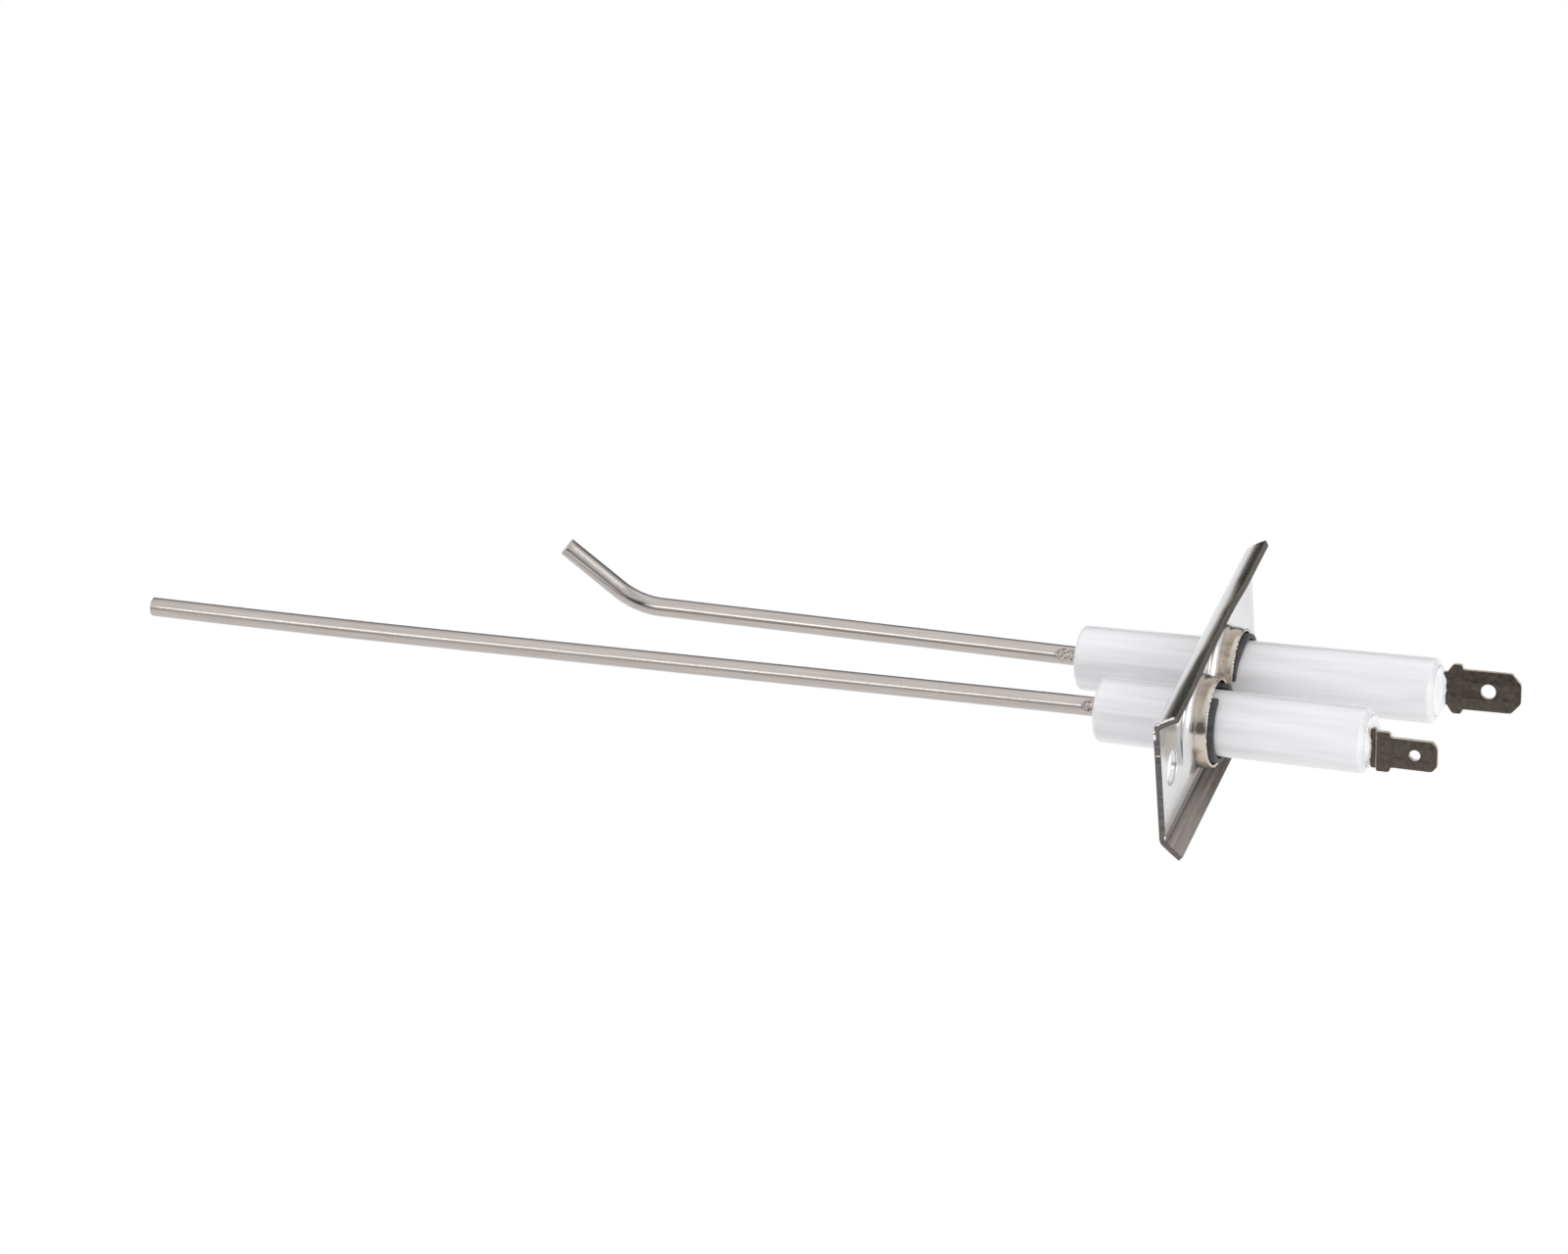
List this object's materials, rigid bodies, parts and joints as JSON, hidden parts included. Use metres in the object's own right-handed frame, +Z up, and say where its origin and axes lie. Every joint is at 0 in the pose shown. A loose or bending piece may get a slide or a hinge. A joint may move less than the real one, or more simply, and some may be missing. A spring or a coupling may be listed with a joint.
{
  "type": "ignition electrode",
  "caption": "Twin burner electrode: bent-tip spark rod and straight flame-sensing rod in ceramic insulators, held in a flanged bracket, with push-on tabs.",
  "frame": {"origin": "middle of the bracket's flat burner-side face, on the web between the two collars", "axes": "+X from the burner towards the terminals, +Y from the flame sensor towards the spark electrode, +Z up"},
  "size_m": [0.2198, 0.0524, 0.0258],
  "materials": {
    "nickel_sheet": "bright nickel plate over drawn sheet, faint brown tint, lengthwise scuffs",
    "alumina": "glossy white glazed alumina",
    "rod_steel": "drawn heat-resisting steel, satin, fine lengthwise grain",
    "sleeve_steel": "dark matt spring steel",
    "terminal_metal": "dull tinned sheet, mottled faces and bright sheared edges",
    "cement": "matt white ceramic cement"
  },
  "bodies": {
    "root": {"mounting_bracket": "nickel_sheet", "sensor_insulator": "alumina", "spark_insulator": "alumina", "sensor_rod": "rod_steel", "spark_rod": "rod_steel", "sensor_split_sleeve": "sleeve_steel", "spark_split_sleeve": "sleeve_steel", "sensor_terminal": "terminal_metal", "spark_terminal": "terminal_metal", "sensor_rear_cement": "cement", "spark_rear_cement": "cement"}
  },
  "joints": []
}
